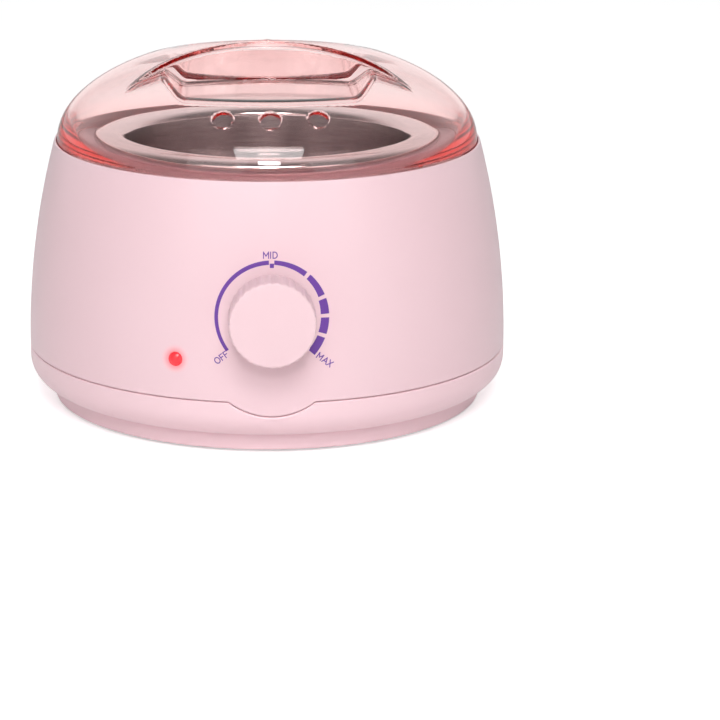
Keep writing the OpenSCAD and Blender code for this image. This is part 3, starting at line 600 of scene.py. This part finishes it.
def knob_outline(turn):
    """Half section along the knob's axis; the rim is fluted at this angle."""
    phase = (turn * FLUTES / (2 * math.pi)) % 1 - 0.5
    groove = FLUTE_DEPTH * 0.7 * max(0.0, 1 - (phase / 0.3) ** 2) ** 1.5
    r, edge = KNOB_R - groove, 0.9
    face_r = KNOB_R - edge
    side = [(r, s, 0) for s in np.linspace(KNOB_BACK + 0.8, KNOB_FACE - edge, 9)]
    lip = [(face_r + (r - face_r) * math.cos(a), KNOB_FACE - edge + edge * math.sin(a), 0)
           for a in np.linspace(0, math.pi / 2, 9)[1:]]
    hub = [(0, 98.7, 0), (3.1, 98.7, 0), (3.1, 91.9, 0.2), (6.2, 91.9, 0.3), (6.2, 99, 0.3)]
    skirt = [(12.9, 99, 0.3), (12.9, KNOB_BACK, 0.3), (r, KNOB_BACK, 0.3)]
    face = [(face_r - 3, KNOB_FACE, 0), (face_r * 0.5, KNOB_FACE, 0), (0, KNOB_FACE, 0)]
    return rounded([*hub, *skirt, *side, *lip, *face])


def make_knob():
    points, faces = turned(knob_outline, full_turn(FLUTES * 14))
    obj = solid("knob_grip", facing(points, -90, KNOB_Z), faces, sharp=50)
    dress(obj, knob_pink)
    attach(obj, "knob")
    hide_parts("knob")


make_knob()


# ---- Printed scale ----


SCALE_DROP, PRINT_UNDER, PRINT_OVER = 0.8, -0.03, 0.05


def on_front(points):
    """Wraps flat points (across, up, out) about a centre just below the knob's axis on to the front."""
    u, v, w = points[:, 0], points[:, 1], points[:, 2]
    z = KNOB_Z - SCALE_DROP + v
    r = barrel(z) + w
    return np.stack([u, -np.sqrt(r**2 - u**2), z], -1)


def sector(a0, a1, width0, width1, outer=20.1):
    """A thin curved bar between two clockwise angles in degrees."""
    steps = max(2, round((a1 - a0) / 2))
    points, faces = [], []
    for i in range(steps + 1):
        t = i / steps
        a = math.radians(a0 + (a1 - a0) * t)
        inner = outer - width0 - (width1 - width0) * t
        for r, w in ((outer, PRINT_UNDER), (inner, PRINT_UNDER), (inner, PRINT_OVER), (outer, PRINT_OVER)):
            points.append((r * math.sin(a), r * math.cos(a), w))
    for i in range(steps):
        faces += [(4 * i + j, 4 * i + (j + 1) % 4, 4 * i + 4 + (j + 1) % 4, 4 * i + 4 + j) for j in range(4)]
    faces += [(0, 1, 2, 3), tuple(4 * steps + j for j in (3, 2, 1, 0))]
    return np.array(points), faces


def bow(x, width, start, end, steps):
    """Round stroke of a letter, one unit high, between two angles in degrees."""
    turns = np.radians(np.linspace(start, end, steps))
    return [(x + width * math.cos(a), 0.5 + 0.5 * math.sin(a)) for a in turns]


# Letters one unit high: the width, then the strokes
LETTERS = {
    "O": (0.95, [bow(0.42, 0.42, 0, 360, 25)]),
    "F": (0.62, [[(0, 0), (0, 1), (0.52, 1)], [(0, 0.52), (0.45, 0.52)]]),
    "M": (1.0, [[(0, 0), (0, 1), (0.42, 0.35), (0.84, 1), (0.84, 0)]]),
    "I": (0.22, [[(0, 0), (0, 1)]]),
    "D": (0.8, [[(0.25, 0), (0, 0), (0, 1), (0.25, 1)], bow(0.25, 0.45, -90, 90, 13)]),
    "A": (0.86, [[(0, 0), (0.42, 1), (0.84, 0)], [(0.14, 0.33), (0.7, 0.33)]]),
    "X": (0.72, [[(0, 0), (0.68, 1)], [(0, 1), (0.68, 0)]]),
}


def word(text, height, across, up, tilt, stroke=0.34):
    """Lettering of thin straight strokes, centred at a place and turned by degrees."""
    gap = 0.18
    length = sum(LETTERS[c][0] for c in text) + gap * (len(text) - 1)
    turn = complex(math.cos(math.radians(tilt)), math.sin(math.radians(tilt)))
    at, parts = -length / 2, []
    for c in text:
        for line in LETTERS[c][1]:
            ends = [complex(at + x, y - 0.5) * height * turn + complex(across, up) for x, y in line]
            for a, b in zip(ends, ends[1:]):
                along = (b - a) / abs(b - a) * stroke / 2
                side = along * 1j
                corners = [a - along - side, b + along - side, b + along + side, a - along + side]
                points = [(q.real, q.imag, w) for w in (PRINT_UNDER, PRINT_OVER) for q in corners]
                parts.append((points, box_faces()))
        at += LETTERS[c][0] + gap
    return joined(parts)


def make_scale():
    """Printed scale: a line that starts at OFF, five bars up to MAX, and the mark under MID."""
    marks = [sector(-127, -3, 1.2, 1.5), sector(2.5, 38, 1.5, 1.9), sector(42, 67, 2.0, 2.4),
             sector(71, 87, 2.8, 3.0), sector(91, 108, 2.9, 3.0), sector(112, 132, 2.9, 3.0),
             sector(-2.3, 2.3, 1.5, 1.5, outer=19.0)]
    height = 2.1
    words = [word("OFF", height, -17.7, -14.3, 38), word("MID", height, -0.4, 21.9, 0),
             word("MAX", height, 18.6, -15.4, -38)]
    points, faces = joined(marks + words)
    obj = solid("scale_print", on_front(points), faces, sharp=20)
    dress(obj, print_purple)
    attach(obj, "housing")


make_scale()


# ---- Indicator, gland and pot ----


def make_lens():
    """Red cap: a thin tube with a snap collar behind the wall and a domed end."""
    collar_r = 3.6
    outline = rounded([(0, 88, 0), (1.7, 88, 0), (1.7, 80, 0.2), (LENS_R, 80, 0.2), (LENS_R, 85.4, 0),
                       (collar_r, 85.4, 0.2), (collar_r, 86.9, 0.2), (LENS_R, 86.9, 0),
                       *arc(0, 88, 3.2, 38.6, 90, 16)])
    points, faces = turned(outline, full_turn(64))
    obj = solid("pilot_lens", facing(points, LENS_ANGLE, LENS_Z), faces)
    dress(obj, lens_red)
    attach(obj, "housing")
    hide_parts("indicator_lens")


def make_gland():
    """Rubber bush of the mains lead: inner flange, neck in the wall, outer flange, sleeve."""
    bore_r, neck_r = 3.2, 5.1
    outline = rounded([(bore_r, 84, 0.2), (6.3, 84, 0.4), (6.3, 86.7, 0.4), (neck_r, 86.7, 0.1),
                       (neck_r, 90.2, 0.1), (7, 90.2, 0.3), (7, 92.4, 0.8), (5.6, 93.4, 0.6),
                       (5.2, 101.4, 0.5), (4.6, 102, 0.3), (bore_r, 102, 0.4)])
    points, faces = turned(outline, full_turn(72))
    obj = solid("gland_bush", facing(points, 90, GLAND_Z), faces)
    dress(obj, finish_of("gland_rubber_fine", (0.8, 0.55, 0.6), 0.55, vary=0.03, relief=0.01))
    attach(obj, "housing")
    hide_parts("cord_gland")


def make_pot():
    """Sheet-metal bowl whose rim rolls outwards and down in a half ellipse."""
    turns = np.linspace(0, math.pi, 49)
    lip_w, lip_h = (POT_RIM_R - POT_R + SHEET_T) / 2, 3.6
    lip_r, lip_z = POT_RIM_R - lip_w, POT_RIM_Z - lip_h
    corner = 6
    corner_r, corner_z = POT_R - 0.8 - corner, POT_FLOOR_Z + corner
    lip_top = [(lip_r + lip_w * math.cos(a), lip_z + lip_h * math.sin(a), 0) for a in turns]
    lip_under = [(lip_r - (lip_w - SHEET_T) * math.cos(a), lip_z + (lip_h - SHEET_T) * math.sin(a), 0)
                 for a in turns]
    edge = [(POT_RIM_R - SHEET_T, lip_z - 0.8, 0.4), (POT_RIM_R, lip_z - 0.8, 0.4)]
    outline = rounded([(0, POT_FLOOR_Z, 0), *arc(corner_r, corner_z, corner, -90, 0, 12), *lip_under, *edge,
                       *lip_top, *arc(corner_r, corner_z, corner - SHEET_T, 0, -90, 12),
                       (0, POT_FLOOR_Z + SHEET_T, 0)])
    obj = solid("pot_bowl", *turned(outline, full_turn(288)))
    dress(obj, pot_metal)
    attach(obj, "pot")
    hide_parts("inner_pot")


make_lens()
make_gland()
make_pot()


# ---- Lid ----


def smooth_max(a, b, k):
    h = np.clip(0.5 + 0.5 * (a - b) / k, 0, 1)
    return b * (1 - h) + a * h + k * h * (1 - h)


def smooth_min(a, b, k):
    return -smooth_max(-a, -b, k)


def ellipsoid(r, z, a, b):
    """Distance to a dome on an upright cylinder, negative inside."""
    h = np.maximum(z - RIM_Z, 0)
    k = np.sqrt((r / a) ** 2 + (h / b) ** 2) + 1e-9
    slope = np.sqrt((r / a**2) ** 2 + (h / b**2) ** 2) / k + 1e-9
    return (k - 1) / slope


EDGE_GROWTH, EDGE_Z = 3.0, 110.0


def lid_field(p):
    """Distance to the lid's surface, negative in the plastic.

    The lid is a hollow dome with two finger pockets and a fin between them, three vent holes at the
    front and a small nub on top. Its wall thickens towards the rim and ends in a skirt inside it.
    """
    x, y, z = np.abs(p[..., 0]), p[..., 1], p[..., 2]
    yy = np.abs(y)
    r = np.hypot(x, yy)
    fall = yy * math.tan(math.radians(3.2))
    floor = POCKET_Z + fall - z
    bank = (POCKET_Z + (x - 31) * 0.892 + fall - z) * 0.746
    shoulder = (SHOULDER_Z - (x - SHOULDER_X) * 0.323 + fall - z) * 0.952
    above = smooth_min(shoulder, smooth_max(floor, bank, 1.2), 1.0)
    pocket = smooth_max(np.hypot(x, yy - FIN_CURVE_R - FIN_T / 2) - FIN_CURVE_R, above, 1.2)
    wall = LID_WALL + EDGE_GROWTH * np.clip((EDGE_Z - z) / 12, 0, 1) ** 2
    hollow = ellipsoid(r, z, LID_R - wall, LID_RISE - wall)
    hollow = smooth_max(hollow, smooth_min(r - LID_R + SKIRT_T, RIM_Z + 0.3 - z, 0.6), 0.6)
    cavity = smooth_max(hollow, LID_WALL - pocket, 1.2)
    body = smooth_max(ellipsoid(r, z, LID_R, LID_RISE), -cavity, 0.4)
    body = smooth_max(body, -pocket, 0.9)
    for turn in (0.0, math.radians(VENT_PITCH)):
        tilt = math.radians(VENT_TILT)
        across, forward = math.sin(turn), -math.cos(turn)
        offset = np.stack([x, y, z], -1) - (VENT_PLACE_R * across, VENT_PLACE_R * forward, RIM_Z + 19.3)
        axis = np.array((across * math.sin(tilt), forward * math.sin(tilt), math.cos(tilt)))
        along = offset @ axis
        around = np.sqrt(np.maximum((offset**2).sum(-1) - along**2, 0)) - VENT_R
        body = smooth_max(body, -smooth_max(around, np.abs(along) - 6, 0.2), 0.5)
    top = RIM_Z + LID_RISE
    nub = np.maximum(np.maximum(r - 1.5, z - top - 0.3), top - 1 - z)
    return smooth_max(smooth_min(body, nub, 0.2), LID_Z0 - z, 0.5)


def slope_of(field, p, step=0.03):
    out = np.empty_like(p)
    for k in range(3):
        move = np.zeros(3)
        move[k] = step
        out[..., k] = (field(p + move) - field(p - move)) / (2 * step)
    return out


def surface_of(field, low, high, cell):
    """Points and quads of a field's zero surface: one point per crossed cell, pulled on to it."""
    axes = [np.arange(a, b + cell, cell) for a, b in zip(low, high)]
    layers = (np.meshgrid([a], axes[1], axes[2], indexing="ij") for a in axes[0])
    value = np.stack([field(np.stack(layer, -1))[0] for layer in layers])
    inside = value < 0
    cells = tuple(n - 1 for n in value.shape)
    total, count = np.zeros(cells + (3,)), np.zeros(cells)
    for k in range(3):
        others = [j for j in range(3) if j != k]
        for du in (0, 1):
            for dv in (0, 1):
                start = [slice(0, -1)] * 3
                start[others[0]] = slice(du, cells[others[0]] + du)
                start[others[1]] = slice(dv, cells[others[1]] + dv)
                end = list(start)
                end[k] = slice(1, None)
                a, b = value[tuple(start)], value[tuple(end)]
                crossed = (a < 0) != (b < 0)
                at = np.zeros(cells + (3,))
                at[..., k] = a / np.where(crossed, a - b, 1)
                at[..., others[0]], at[..., others[1]] = du, dv
                total += at * crossed[..., None]
                count += crossed
    used = count > 0
    index = np.full(cells, -1)
    index[used] = np.arange(used.sum())
    points = np.array(low) + (np.argwhere(used) + total[used] / count[used][:, None]) * cell
    quads = []
    for k in range(3):
        u, v = (k + 1) % 3, (k + 2) % 3
        start = [slice(1, -1)] * 3
        start[k] = slice(0, -1)
        end = list(start)
        end[k] = slice(1, None)
        a, b = inside[tuple(start)], inside[tuple(end)]
        where = np.argwhere(a != b)
        leaving = a[a != b]
        where[:, [j for j in range(3) if j != k]] += 1
        corner = []
        for du, dv in ((-1, -1), (0, -1), (0, 0), (-1, 0)):
            c = where.copy()
            c[:, u] += du
            c[:, v] += dv
            corner.append(index[c[:, 0], c[:, 1], c[:, 2]])
        quad = np.stack(corner, -1)
        quad[~leaving] = quad[~leaving][:, ::-1]
        quads.append(quad)
    for _ in range(4):
        g = slope_of(field, points)
        points = points - field(points)[:, None] * g / np.maximum((g**2).sum(-1), 0.25)[:, None]
    return points, np.concatenate(quads)


def make_lid():
    cell = 0.88
    points, quads = surface_of(lid_field, (-79.7, -79.7, LID_Z0 - 1.1), (79.7, 79.7, 136.4), cell)
    normals = slope_of(lid_field, points)
    mesh = bpy.data.meshes.new("lid_dome")
    mesh.from_pydata((points * MM).tolist(), [], quads.tolist())
    mesh.shade_smooth()
    mesh.normals_split_custom_set_from_vertices((normals / np.linalg.norm(normals, axis=1)[:, None]).tolist())
    obj = bpy.data.objects.new("lid_dome", mesh)
    bpy.context.scene.collection.objects.link(obj)
    dress(obj, lid_clear)
    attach(obj, "lid")
    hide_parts("lid")


make_lid()


# ---- CAD nodes that stay as they are ----


def dress_nodes():
    """Gives every CAD node a finish by its material slot."""
    made = {}
    for part in frame["record"]["subparts"]:
        name = part["material_slot"]
        if name not in made:
            colour, rough, metallic, scale, stretch, relief = SLOT_FINISHES[name]
            made[name] = finish_of("cad_" + name, colour, rough, metallic, 0.05, scale, stretch, relief)
        dress(frame["nodes"][part["node"]], made[name])


dress_nodes()
